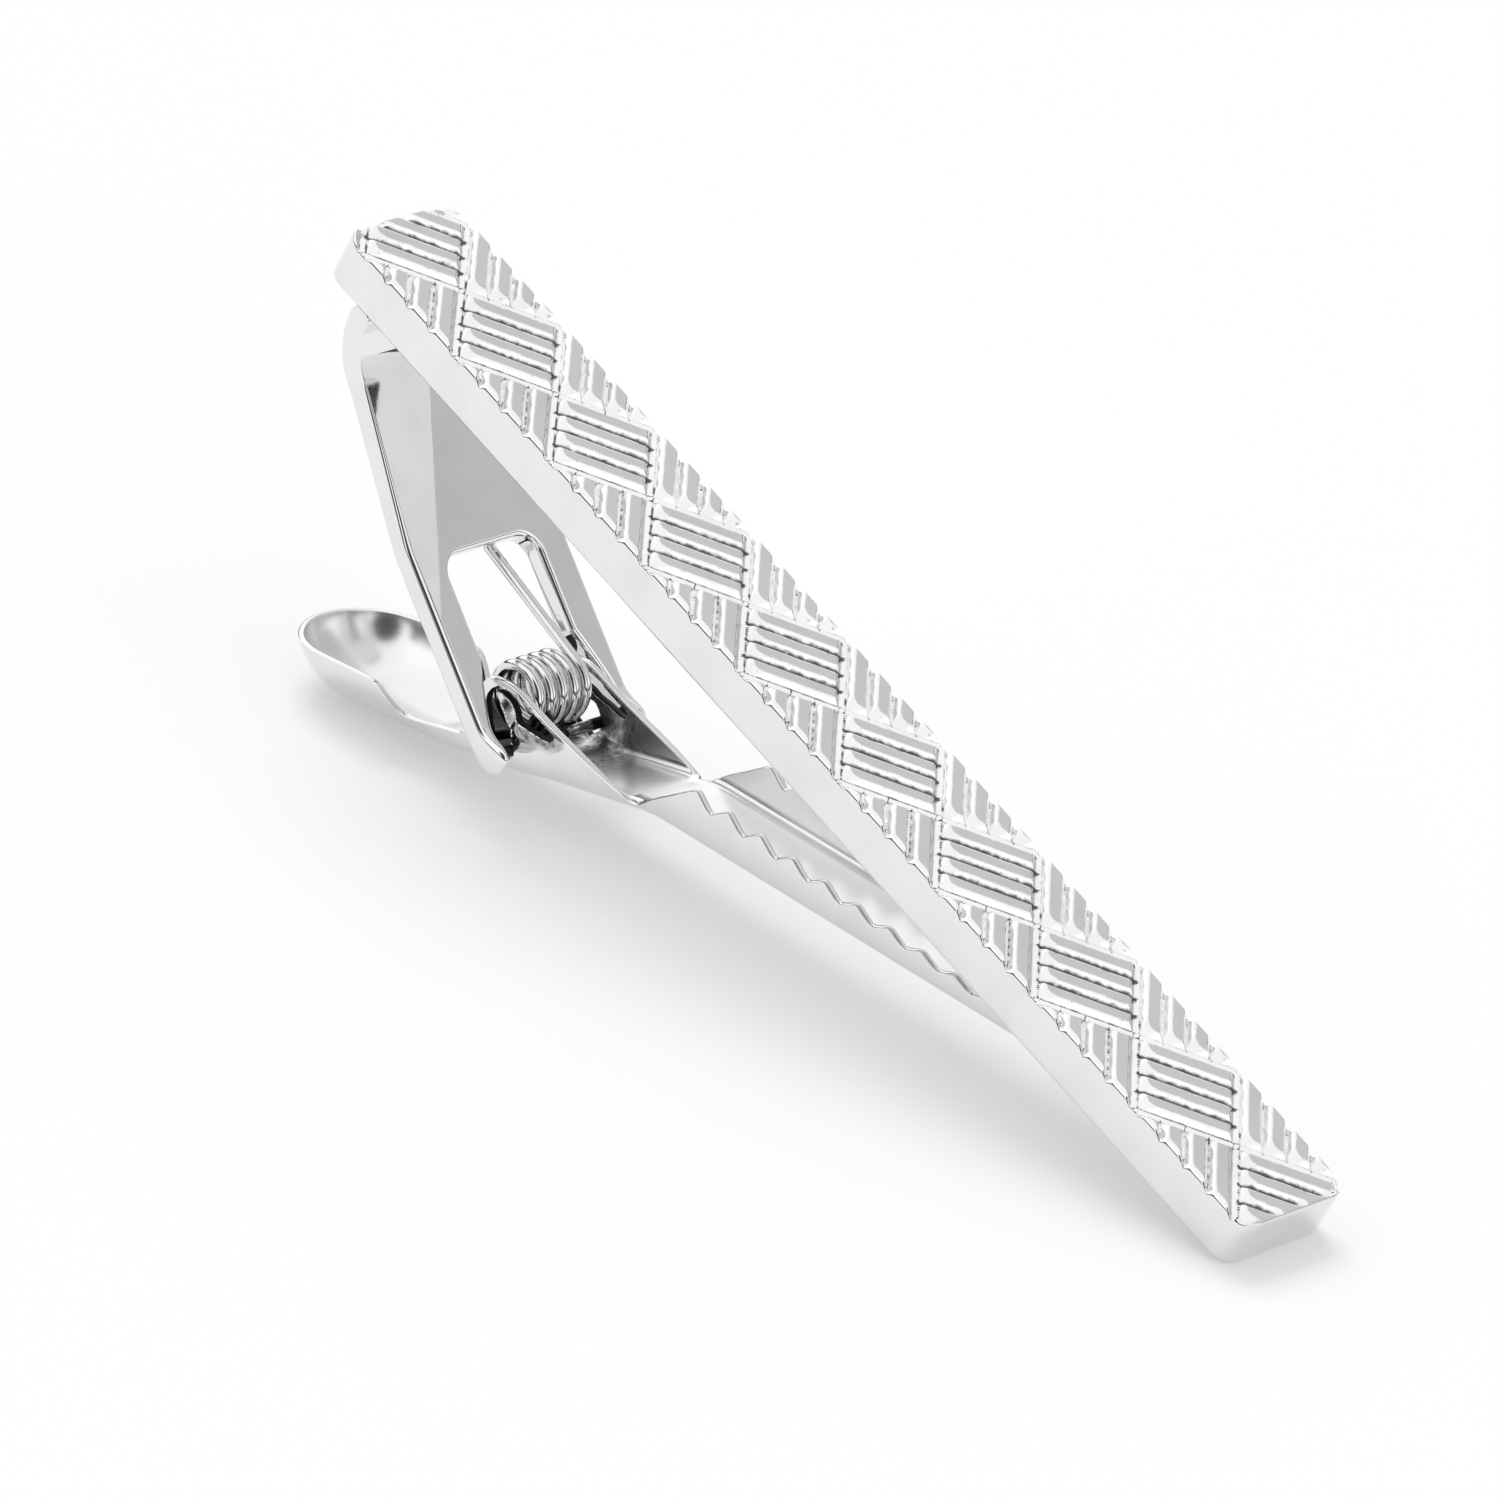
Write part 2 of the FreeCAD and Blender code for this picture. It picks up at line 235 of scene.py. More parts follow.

# Openings in the lever's cheeks, along and above the belly's foot: outline, pressed tongue with painted
# shade, a painted-shade band below with its upper edge a line (height, slope), then the pin's seat and boss
# around it
opening_outline = [(-1.0, 3.36), (-0.7, 3.34), (-0.03, 3.17), (0.5, 2.92), (1.02, 2.62), (1.56, 2.3),
                   (2.0, 2.0), (2.05, 1.86), (1.84, 1.7), (1.5, 1.74), (0.9, 1.95), (0.4, 2.1),
                   (0.16, 2.2), (-0.04, 2.48), (-0.44, 2.82), (-0.84, 3.08), (-1.1, 3.12),
                   (-1.06, 2.83), (-0.9, 2.46), (-0.45, 2.1),
                   (0.0, 1.86), (0.12, 1.48), (0.2, 1.02), (0.1, 0.7), (-0.25, 0.45), (-0.75, 0.68),
                   (-1.25, 1.15), (-1.55, 1.75), (-1.66, 2.5), (-1.56, 2.9), (-1.35, 3.16)]
tongue_spot = (-0.6, 2.6)
tongue_reach = (1.1, 0.9)
tongue_press = 0.15
tongue_mottle = 0.75
band_middle = 1.15
band_half = 1.05
band_width = 0.55
band_line = (2.31, -0.331)
band_soft = 0.12
band_mottle = 0.6
rod_clearance = 0.02
boss_height = 0.45
boss_radius = 2.0

# Painted shade inside the lever and on the pin, by walk or place across
inner_satin = 0.2
dark_start = -5.2
dark_rise = 1.2
dark_end = 0.0
mottle_end = 5.0
mottle_fade = 3.0
mottle_share = 0.58
rod_mottle = 0.6
rod_mottle_from = 0.4
rod_mottle_to = 1.9
cut_reach = 0.01
inner_facing = -0.3

# Rims, blends and grid of the lever
edge_softness = 0.22
tooth_softness = 0.1
rim_bulge = 0.06
rim_shares = [0.1, 0.28, 0.5, 0.72, 0.9]
rim_power = 0.6
dish_blend_start = 0.6
dish_blend_length = 2.2
wall_share = 0.9
floor_line_steps = 3000
dish_rows = 40
lever_rows = 560
floor_columns = 5
corner_columns = 12
wall_columns = 19
seat_sides = 40

# Torsion spring: wire, coil, legs, grid, then the shade on its lower near side
wire_radius = 0.235
coil_diameter = 3.1
coil_turns = 4
coil_length = 2.78
coil_start = -1.58
coil_lean = math.radians(57.2)
coil_clearance = 0.105
long_leg_slant = math.radians(-5.6)
long_leg_length = 6.9
short_leg_slant = math.radians(50.0)
short_leg_length = 2.9
coil_ease = math.pi / 3
coil_steps = 60
long_leg_steps = 30
short_leg_steps = 12
wire_sides = 20
shade_below_cheek = 0.6
shade_reach = 1.2
shade_near_side = 0.2


def side_axes(slant):
    """Unit vectors (x, z) of the side view: one rising along x by the slant, one square to it."""
    return np.array([math.cos(slant), math.sin(slant)]), np.array([-math.sin(slant), math.cos(slant)])


# Places that several pieces share, as (x, z) of the side view
strip_along, strip_square = side_axes(-strip_slant)
belly_along, belly_square = side_axes(belly_slant)
strip_corner = np.array([bracket_inset + strip_thickness, -strip_drop])
hinge = strip_corner + strip_along * hinge_reach - strip_square * (strip_thickness / 2)
rod_height = rod_radius + belly_clearance + sheet_thickness
belly_foot = hinge - belly_square * rod_height


def laid(points):
    """Bar-frame points turned about the hinge by the table's slope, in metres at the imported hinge."""
    c = math.cos(table_slope)
    s = math.sin(table_slope)
    x = points[..., 0] - hinge[0]
    z = points[..., 2] - hinge[1]
    turned = np.stack([x * c + z * s, points[..., 1], z * c - x * s], -1)
    return turned * MM + hinge_spot


def smooth_step(t):
    """Rises from 0 to 1 without corners as t goes from 0 to 1."""
    t = np.clip(t, 0, 1)
    return t * t * (3 - 2 * t)


def grid_quads(rows, columns, closed=False):
    """Corner numbers of the quads of a grid of points; closed joins its last column to its first."""
    i = np.arange(rows - 1)[:, None]
    j = np.arange(columns if closed else columns - 1)[None, :]
    k = (j + 1) % columns
    corners = [i * columns + j, i * columns + k, (i + 1) * columns + k, (i + 1) * columns + j]
    return np.stack(corners, -1).reshape(-1, 4)


def make_piece(name, points, faces, material, shade_and_satin=None, sharp_angle=usual_sharp_angle):
    """One closed mesh from bar-frame points and lists of faces, with outward normals and smooth shading.
    Its painted-shade values are 1 at points painted darkest as shade, in a groove or inside; low values
    only make the finish satin."""
    mesh = bpy.data.meshes.new(name)
    mesh.from_pydata(laid(points).tolist(), [], [f for part in faces for f in part.tolist()])
    depth = mesh.attributes.new("shade_and_satin", "FLOAT", "POINT")
    depth.data.foreach_set("value", np.zeros(len(points)) if shade_and_satin is None else shade_and_satin)
    shape = bmesh.new()
    shape.from_mesh(mesh)
    bmesh.ops.remove_doubles(shape, verts=shape.verts, dist=merge_distance)
    bmesh.ops.dissolve_degenerate(shape, edges=shape.edges, dist=degenerate_distance)
    bmesh.ops.recalc_face_normals(shape, faces=shape.faces)
    shape.to_mesh(mesh)
    shape.free()
    mesh.shade_smooth()
    mesh.set_sharp_from_angle(angle=sharp_angle)
    mesh.materials.append(material)
    piece = bpy.data.objects.new(name, mesh)
    bpy.context.collection.objects.link(piece)
    return piece


def rib_relief(x, y):
    """Drop of the bar's face below its rib tops, how near a rib's foot is (1 on its line), and whether the
    nearest edge runs with x and y rising alike.

    Turned by 45 degrees, the face is a chequerboard of squares, each of four ribs lying square to the next
    square's, with a slanted ledge between squares.  A rib's foot is a rectangle and its top a smaller one
    with one round corner.  The drop is the distance past the top's edge as a share of the way from there to
    the foot, with a soft shoulder.  Places are shifted a little by products of sine waves."""
    side = bar_width / math.sqrt(2)
    waves = [np.sin(along * x + across * y + shift) for along, across, shift in rib_waves]
    wavy_x = x - first_corner_inset + rib_waver * waves[0] * waves[1]
    wavy_y = y + rib_waver * waves[2] * waves[3]
    u = (wavy_x + wavy_y) / math.sqrt(2)
    v = (wavy_x - wavy_y) / math.sqrt(2)
    cell_u = np.floor(u / side)
    cell_v = np.floor(v / side)
    turned = (cell_u + cell_v) % 2 == 1
    from_u = u - (cell_u + 0.5) * side
    from_v = v - (cell_v + 0.5) * side
    span = side - border_floor
    pitch = span / ribs_per_square
    across = np.where(turned, from_u, from_v)
    rib = np.clip(np.floor((across + span / 2) / pitch), 0, ribs_per_square - 1)
    off = across + span / 2 - (rib + 0.5) * pitch
    half_u = np.where(turned, pitch, span) / 2
    half_v = np.where(turned, span, pitch) / 2
    place_u = np.where(turned, off, from_u)
    place_v = np.where(turned, from_v, off)
    left = half_u + place_u
    right = half_u - place_u
    near = half_v - place_v
    far = half_v + place_v
    to_foot = np.minimum(np.minimum(left, right), np.minimum(near, far))
    past_left = groove_flank + rib_corner_radius - left
    past_near = groove_flank + rib_corner_radius - near
    corner = np.hypot(np.maximum(past_left, 0), np.maximum(past_near, 0)) - rib_corner_radius
    corner = corner + np.minimum(np.maximum(past_left, past_near), 0)
    past_top = np.maximum(corner, groove_flank - np.minimum(right, far))
    share = past_top / np.maximum(np.maximum(past_top, 0) + np.maximum(to_foot, 0), tiny)
    fall = groove_depth * share
    drop = np.minimum((fall + np.sqrt(fall ** 2 + rib_shoulder ** 2)) / 2, groove_depth)
    ledge = np.where(near < 0, 1 + near / border_floor, 0)
    ledge = np.maximum(ledge, np.where(far < 0, -far / border_floor, 0))
    ledge = np.maximum(ledge, np.where(left < 0, 1 + left / border_floor, 0))
    ledge = np.maximum(ledge, np.where(right < 0, -right / border_floor, 0))
    edge_u = np.minimum(np.abs(left), np.abs(right))
    edge_v = np.minimum(np.abs(near), np.abs(far))
    outermost = np.where(near < far, rib == ribs_per_square - 1, rib == 0)
    line_v = np.where(turned, groove_line, np.where(outermost, border_line, long_groove_line))
    line = np.maximum(np.clip(1 - edge_u / groove_line, 0, 1), np.clip(1 - edge_v / line_v, 0, 1))
    return drop - border_ledge * ledge, line, np.minimum(near, far) > np.minimum(left, right)


def face_height(x, y, inset, edge_radius):
    """Height of the bar's face, and its groove lines: the relief, fading under a lip at the free end, and
    an edge rolled off."""
    drop, line, _ = rib_relief(x, y)
    fade = smooth_step((bar_length - x) / end_lip)
    reach = np.clip(edge_radius - inset, 0, edge_radius)
    roll = edge_radius - np.sqrt(edge_radius ** 2 - reach ** 2)
    drop = drop * fade
    height = bar_thickness - np.hypot(np.maximum(drop, 0), roll) - np.minimum(drop, 0)
    return height, line * fade


def make_front_bar(material):
    """A height grid with its diagonals along the ribs, rings that roll the rim over, walls and a soft
    back."""
    step = bar_width / face_steps_across
    x = np.arange(rim_width, bar_length - rim_width + step / 2, step)
    y = np.arange(rim_width - bar_width / 2, bar_width / 2 - rim_width + step / 2, step)
    radius = bar_corner_radius - rim_width
    from_end = np.minimum(x - rim_width, bar_length - rim_width - x)
    dip = np.clip(radius - from_end, 0, radius)
    half = bar_width / 2 - rim_width
    half_width = half - radius + np.sqrt(radius ** 2 - dip ** 2)
    first = np.floor((half - half_width) / step + tiny).astype(int)
    last = len(y) - 1 - first
    row = np.clip(np.arange(len(y))[None, :], first[:, None], last[:, None])
    number = np.arange(len(x))[:, None] * len(y) + row
    grid_x = np.repeat(x[:, None], len(y), 1)
    grid_y = np.clip(np.repeat(y[None, :], len(x), 0), -half_width[:, None], half_width[:, None])
    grid_z, grid_line = face_height(grid_x, grid_y, rim_width, side_edge_radius)
    face_points = np.stack([grid_x, grid_y, grid_z], -1).reshape(-1, 3)
    a, b = number[:-1, :-1], number[1:, :-1]
    c, d = number[1:, 1:], number[:-1, 1:]
    middle_x = (grid_x[:-1, :-1] + grid_x[1:, 1:]) / 2
    middle_y = (grid_y[:-1, :-1] + grid_y[1:, 1:]) / 2
    _, _, rising = rib_relief(middle_x, middle_y)
    lower = np.where(rising[..., None], np.stack([a, b, c], -1), np.stack([a, b, d], -1)).reshape(-1, 3)
    upper = np.where(rising[..., None], np.stack([a, c, d], -1), np.stack([b, c, d], -1)).reshape(-1, 3)
    triangles = np.concatenate([lower, upper])
    whole = (triangles[:, 0] != triangles[:, 1]) & (triangles[:, 1] != triangles[:, 2])
    triangles = triangles[whole & (triangles[:, 2] != triangles[:, 0])]
    # Rim rings around the face, then walls and the back's soft edge
    columns = np.arange(len(x))
    loop = np.concatenate([number[columns, first], number[-1, first[-1] + 1:last[-1]],
                           number[columns[::-1], last[::-1]], number[0, first[0] + 1:last[0]][::-1]])
    core = np.array([bar_corner_radius, bar_corner_radius - bar_width / 2])
    edge = face_points[loop, :2]
    outward = edge - np.clip(edge, core, [bar_length - core[0], -core[1]])
    outward = outward / np.linalg.norm(outward, axis=1, keepdims=True)
    rounding = np.abs(outward[:, 0])
    side_radius = np.where(outward[:, 1] > 0, far_edge_radius, side_edge_radius)
    edge_radius = side_radius + (end_edge_radius - side_radius) * smooth_step(rounding)
    insets = rim_width * (1 - np.sin(np.linspace(0, math.pi / 2, rim_rings)))
    spots = edge + outward * (rim_width - insets[:, None, None])
    heights, rim_line = face_height(spots[..., 0], spots[..., 1], insets[:, None], edge_radius)
    rim_line = rim_line * smooth_step(insets / side_edge_radius)[:, None]
    rim = np.concatenate([spots, heights[..., None]], -1)
    turn = np.linspace(0, math.pi / 2, back_rings)[:, None]
    back_spots = spots[-1] - outward * (bar_back_edge_radius * (1 - np.cos(turn)))[..., None]
    back_height = np.repeat(bar_back_edge_radius * (1 - np.sin(turn)), len(loop), 1)
    back = np.concatenate([back_spots, back_height[..., None]], -1)
    wall = np.concatenate([spots[-1:], np.full((1, len(loop), 1), wall_line)], -1)
    rings = np.concatenate([rim, wall, back])
    ring_faces = grid_quads(len(rings), len(loop), closed=True) + len(face_points)
    cap = np.arange(len(loop))[None, :] + len(face_points) + (len(rings) - 1) * len(loop)
    points = np.concatenate([face_points, rings.reshape(-1, 3)])
    # Painted shade along the face's groove lines and the rim's lines, none on the walls and back
    shade_and_satin = np.concatenate([grid_line.ravel(), rim_line.ravel(), np.zeros((1 + len(back)) * len(loop))])
    used, faces = np.unique(np.concatenate([triangles.ravel(), ring_faces.ravel(), cap.ravel()]),
                            return_inverse=True)
    ends = np.cumsum([triangles.size, ring_faces.size])
    parts = np.split(faces, ends)
    shapes = [parts[0].reshape(-1, 3), parts[1].reshape(-1, 4), parts[2].reshape(1, -1)]
    return make_piece("basket_weave_bar", points[used], shapes, material, shade_and_satin[used],
                      bar_sharp_angle)


def rounded_path(corners, radii, count):
    """Points along straight runs with tangent arcs at the corners, evenly spaced over the whole length."""
    corners = np.array(corners, float)
    stretch = [corners[:1]]
    for before, corner, after, radius in zip(corners, corners[1:], corners[2:], radii):
        back = (before - corner) / np.linalg.norm(before - corner)
        ahead = (after - corner) / np.linalg.norm(after - corner)
        half = math.acos(np.clip(back @ ahead, -1, 1)) / 2
        reach = radius / math.tan(half)
        middle = corner + (back + ahead) / np.linalg.norm(back + ahead) * radius / math.sin(half)
        start = corner + back * reach - middle
        end = corner + ahead * reach - middle
        sweep = math.pi - 2 * half
        t = np.linspace(0, 1, arc_steps)[:, None]
        arc = np.sin((1 - t) * sweep) * start + np.sin(t * sweep) * end
        stretch.append(middle + arc / math.sin(sweep))
    stretch.append(corners[-1:])
    line = np.concatenate(stretch)
    walked = np.concatenate([[0], np.cumsum(np.linalg.norm(np.diff(line, axis=0), axis=1))])
    even = np.linspace(0, walked[-1], count)
    return np.stack([np.interp(even, walked, line[:, k]) for k in range(line.shape[1])], -1)


def bent_strip(reach, across, lift):
    """Points of the strip from reach along its slant, across it and lifted from its middle: past the
    slant's upper end the reach runs on round the bend and up to the bar."""
    turn = math.pi / 2 - strip_slant
    middle_radius = bend_radius + strip_thickness / 2
    bend_start = bend_radius * math.tan(turn / 2)
    round_bend = np.clip((bend_start - reach) / middle_radius, 0, turn)
    beyond = np.clip(bend_start - reach - turn * middle_radius, 0, None)
    on_slant = np.maximum(reach, bend_start)
    centre = strip_corner + strip_along * bend_start + strip_square * bend_radius
    heading = -strip_slant - round_bend
    along = np.stack([np.cos(heading), np.sin(heading)], -1)
    square = np.stack([-np.sin(heading), np.cos(heading)], -1)
    spot = centre + strip_along * (on_slant - bend_start)[..., None]
    spot = spot + square * (lift - middle_radius)[..., None] - along * beyond[..., None]
    return np.stack([spot[..., 0], across, spot[..., 1]], -1)


def make_clasp_bracket(material):
    """A fork cut from strip: a flat tube between the window's edge and the outer edge, carried from one
    leg's end round the window to the other's, then bent.  The tube's section is a rectangle with soft
    corners.  A round pin joins the legs at the hinge."""
    turn = math.pi / 2 - strip_slant
    top = bend_radius * math.tan(turn / 2) - turn * (bend_radius + strip_thickness / 2)
    stub = strip_drop - bend_radius * math.tan(turn / 2)
    top = top - stub - solder_sink
    end = hinge_reach + leg_overhang
    bar_half = bar_width / 2
    hinge_half = strip_hinge_width / 2
    window_half = window_width / 2
    window_top = hinge_reach - window_length
    flare_end = flare_start + flare_length
    eye = (strip_thickness + strip_eye_swell) / 2
    r = window_corner_radius
    # Inner and outer edges of half the fork, met point by point in three runs: top, shoulder and leg
    inner_runs = [rounded_path([(window_top, 0), (window_top, window_half - r)], [], top_steps),
                  rounded_path([(window_top, window_half - r), (window_top, window_half),
                                (window_top + r, window_half)], [r * nearly_all], shoulder_steps)]
    outer_runs = [rounded_path([(top, 0), (top, bar_half)], [], top_steps),
                  rounded_path([(top, bar_half), (flare_start, bar_half), (flare_end, hinge_half),
                                (window_top + r, hinge_half)],
                               [flare_length / 2, flare_length / 2], shoulder_steps)]
    round_end = end - eye * (1 - np.sin(np.linspace(0, math.pi / 2, leg_end_steps)))
    leg_reach = np.concatenate([np.linspace(window_top + r, end - eye, leg_steps)[:-1], round_end])
    taper = 1 - np.clip((end - leg_reach) / leg_taper, 0, 1) ** leg_taper_power
    inner_leg = window_half + (leg_tip_width / 2 - window_half) * taper
    rounding = np.clip((leg_reach - end + leg_round) / leg_round, 0, 1)
    outer_half = leg_tip_width / 2 + strip_edge_radius
    outer_leg = outer_half + (hinge_half - outer_half) * np.sqrt(1 - rounding ** 2)
    inner = np.concatenate([*inner_runs, np.stack([leg_reach, inner_leg], -1)])
    outer = np.concatenate([*outer_runs, np.stack([leg_reach, outer_leg], -1)])
    mirror = np.array([1, -1])
    inner = np.concatenate([inner[:0:-1] * mirror, inner])
    outer = np.concatenate([outer[:0:-1] * mirror, outer])
    # Section: shares across the fork and lifts, round the rectangle
    width = np.linalg.norm(outer - inner, axis=1)[:, None]
    r_edge = np.minimum(strip_edge_radius, width / 2)
    flat = np.linspace(0, 1, flat_steps)[None, :]
    arc = np.linspace(0, math.pi / 2, edge_steps)[1:-1][None, :]
    half = strip_thickness / 2
    straight = r_edge + (width - 2 * r_edge) * flat
    near_arc = r_edge * (1 - np.sin(arc))
    far_arc = width - r_edge * (1 - np.sin(arc))
    arc_lift = half - strip_edge_radius * (1 - np.cos(arc)) + 0 * width
    side_lift = np.linspace(half - strip_edge_radius, strip_edge_radius - half, side_steps)[None, :]
    side_lift = side_lift + 0 * width
    level = half + 0 * straight
    offsets = np.concatenate([straight, far_arc, width + 0 * side_lift, far_arc[:, ::-1],
                              straight[:, ::-1], near_arc, 0 * side_lift, near_arc[:, ::-1]], 1)
    lifts = np.concatenate([level, arc_lift, side_lift, -arc_lift[:, ::-1],
                            -level, -arc_lift, side_lift[:, ::-1], arc_lift[:, ::-1]], 1)
    # At a leg's end the strip swells to an eye on its inner face and ends round
    swell = strip_eye_swell * smooth_step((inner[:, :1] - end + strip_eye_length) / strip_eye_length)
    past = np.clip((inner[:, :1] - end + eye) / eye, 0, nearly_all)
    lifts = lifts * (1 + swell / strip_thickness)
    lifts = swell / 2 + lifts * np.sqrt(1 - past ** 2)
    share = offsets / np.maximum(width, tiny)
    plan = inner[:, None, :] + (outer - inner)[:, None, :] * share[..., None]
    grid = bent_strip(plan[..., 0], plan[..., 1], lifts)
    rows, columns = grid.shape[:2]
    caps = np.stack([np.arange(columns), np.arange(columns) + (rows - 1) * columns])
    rod_y = np.linspace(-1, 1, pin_rings) * leg_tip_width / 2
    rod_line = np.stack([hinge[0] + 0 * rod_y, rod_y, hinge[1] + 0 * rod_y], -1)
    rod, rod_faces, rod_caps = tube(rod_line, pin_radius, pin_sides, np.array([1.0, 0, 0]))
    points = np.concatenate([grid.reshape(-1, 3), rod])
    count = rows * columns
    faces = [grid_quads(rows, columns, closed=True), caps, rod_faces + count, rod_caps + count]
    # The pin is painted dark as shade, lighter and mottled over a stretch of its length
    lighter = (rod[:, 1] > rod_mottle_from) & (rod[:, 1] < rod_mottle_to)
    rod_shade = np.where(lighter, rod_mottle, 1)
    shade_and_satin = np.concatenate([np.zeros(count), rod_shade])
    return make_piece("forked_bracket", points, faces, material, shade_and_satin)


def tube(line, radius, sides, reference):
    """Rings of a round tube along a line that never runs along the reference direction, with end caps."""
    way = np.gradient(line, axis=0)
    way = way / np.linalg.norm(way, axis=1, keepdims=True)
    right = np.cross(way, reference)
    right = right / np.linalg.norm(right, axis=1, keepdims=True)
    ahead = np.cross(right, way)
    turn = np.arange(sides) * (2 * math.pi / sides)
    rings = line[:, None, :] + radius * (np.cos(turn)[None, :, None] * right[:, None, :]
                                         + np.sin(turn)[None, :, None] * ahead[:, None, :])
    caps = np.stack([np.arange(sides), np.arange(sides) + (len(line) - 1) * sides])
    return rings.reshape(-1, 3), grid_quads(len(line), sides, closed=True), caps


def lever_floor(walk):
    """The floor line's points and headings: the heading turns evenly at the neck and the waist, and the
    line is the running sum of its steps, with walk 0 below the hinge."""
    neck_turn = lever_bend_radius * (belly_slant - dish_slant) / 2
    waist_turn = lever_bend_radius * (belly_slant - jaw_slant) / 2
    knots = [-neck_length - neck_turn, -neck_length + neck_turn,
             belly_length - waist_turn, belly_length + waist_turn]
    heading = np.interp(walk, knots, [dish_slant, belly_slant, belly_slant, jaw_slant])
    step = np.diff(walk)
    middle = (heading[1:] + heading[:-1]) / 2
    x = np.concatenate([[0], np.cumsum(step * np.cos(middle))])
    z = np.concatenate([[0], np.cumsum(step * np.sin(middle))])
    x = x - np.interp(0, walk, x) + belly_foot[0]
    z = z - np.interp(0, walk, z) + belly_foot[1]
    return x, z, heading


def blurred(values, walk, width):
    """Running mean of values given at even steps of walk, over a bell of the given width."""
    step = walk[1] - walk[0]
    reach = int(3 * width / step)
    bell = np.exp(-0.5 * (np.arange(-reach, reach + 1) * step / width) ** 2)
    padded = np.pad(values, reach, mode="edge")
    return np.convolve(padded, bell / bell.sum(), mode="valid")


def wall_height(walk, z, heading):
    """Height of the lever's edge above its floor line: dish rim, neck, cheek, waist, then the teeth."""
    first = belly_length + first_tooth
    corners = [(-neck_length - dish_rim_start, dish_depth - dish_drop),
               (-neck_length - dish_rim_end, dish_lip_depth - dish_drop),
               (-cheek_back - cheek_slope_length, neck_wall),
               (-cheek_back, cheek_height),
               cheek_shoulder,
               *cheek_fall,
               (belly_length - waist_ramp / 2, waist_height),
               (first, tooth_height_near_waist)]
    outline = blurred(np.interp(walk, *np.array(corners).T), walk, edge_softness)
    tooth = (walk - first) / tooth_pitch
    share = np.clip(tooth / (tooth_count - 1), 0, 1)
    peak = tooth_height_near_waist + (tooth_height_at_tip - tooth_height_near_waist) * share
    depth = tooth_depth_near_waist + (tooth_depth_at_tip - tooth_depth_near_waist) * share
    under_bar = (-jaw_gap - z) / np.cos(heading)
    zigzag = 1 - np.abs(1 - 2 * (tooth % 1))
    teeth = np.minimum(peak, under_bar) - depth * zigzag
    return blurred(np.where(tooth > 0, teeth, outline), walk, tooth_softness)


def lever_surface(walk, past_end, depth):
    """Sections of the lever at each walk along its floor line, moved inwards by a share of the sheet's
    depth.

    A section runs from the floor's middle out, round an oval corner and up the wall to its edge.  In the
    dish the corner is as wide as the section itself, and past the dish's axis the section follows a ball.
    Around the rod the walls swell outwards in a round boss, and the opening's tongue is pressed in by an
    oval hollow.  Also returned: the direction of the walls, and how much painted shade each point takes, on
    the tongue and on a band below the opening."""
    even = np.linspace(walk.min(), walk.max(), floor_line_steps)
    x, z, heading = lever_floor(even)
    edge = np.interp(walk, even, wall_height(even, z, heading)) - rim_bulge
    x, z, heading = (np.interp(walk, even, values) for values in (x, z, heading))
    into_dish = smooth_step((dish_blend_start - neck_length - walk) / dish_blend_length)
    inset = depth * (skin_belly + (skin_dish - skin_belly) * into_dish)
    radius = dish_radius - inset
    ball = np.sqrt(np.maximum(radius ** 2 - past_end ** 2, 0))
    half = (lever_width / 2 - inset) * (1 - into_dish) + ball * into_dish
    outer_sizes = (lever_edge_reach, lever_edge_rise)
    sizes = [size + (inner_edge_radius - size) * depth for size in outer_sizes]
    corner, corner_rise = (size * (1 - into_dish) + ball * into_dish for size in sizes)
    lift = inset + (radius - ball) - dish_drop * into_dish
    rise = np.maximum(edge - lift, 0)
    full_turn = np.arccos(np.clip(1 - rise / np.maximum(corner_rise, tiny), 0, 1))
    corner_end = np.minimum(full_turn, math.pi / 2) * np.where(rise < corner_rise, wall_share, 1)
    wall_turn = np.where(rise < corner_rise, full_turn - corner_end, 0)
    wall = np.maximum(rise - corner_rise, 0)
    floor_steps = np.linspace(0, 1, floor_columns)[:-1]
    corner_steps = np.linspace(0, 1, corner_columns)
    wall_steps = np.linspace(0, 1, wall_columns)[1:]
    flat = np.maximum(half - corner, 0)[:, None]
    turns = np.concatenate([corner_end[:, None] * corner_steps,
                            corner_end[:, None] + wall_turn[:, None] * wall_steps], 1)
    climb = np.concatenate([0 * corner_end[:, None] * corner_steps, wall[:, None] * wall_steps], 1)
    y = np.concatenate([flat * floor_steps, flat + corner[:, None] * np.sin(turns)], 1)
    h = np.concatenate([0 * flat * floor_steps, corner_rise[:, None] * (1 - np.cos(turns)) + climb], 1)
    y = np.concatenate([-y[:, :0:-1], y], 1)
    h = np.concatenate([h[:, :0:-1], h], 1) + lift[:, None]
    side = np.stack([-np.sin(heading), 0 * heading, np.cos(heading)], -1)[:, None, :]
    spot = np.stack([x, 0 * x, z], -1)[:, None, :]
    points = spot + side * h[..., None] + np.array([0, 1, 0]) * y[..., None]
    from_rod = np.hypot(points[..., 0] - hinge[0], points[..., 2] - hinge[1])
    swell = boss_height * smooth_step(1 - from_rod / boss_radius)
    from_foot = points[..., [0, 2]] - belly_foot
    along = from_foot @ belly_along
    above = from_foot @ belly_square
    # The tongue is pressed in and painted with shade, and a band below the opening gets painted shade
    on_tongue = smooth_step(1 - np.hypot((along - tongue_spot[0]) / tongue_reach[0],
                                         (above - tongue_spot[1]) / tongue_reach[1]))
    band_edge = band_line[0] + band_line[1] * along
    lobe = np.sqrt(np.clip(1 - ((along - band_middle) / band_half) ** 2, 0, 1))
    on_band = smooth_step((above - band_edge + band_width * lobe) / band_soft) * (lobe > 0)
    on_band = on_band * smooth_step((band_edge + 2 * band_soft - above) / band_soft)
    points[..., 1] += np.sign(y) * (swell - tongue_press * on_tongue)
    return points, side, np.maximum(tongue_mottle * on_tongue, band_mottle * on_band)


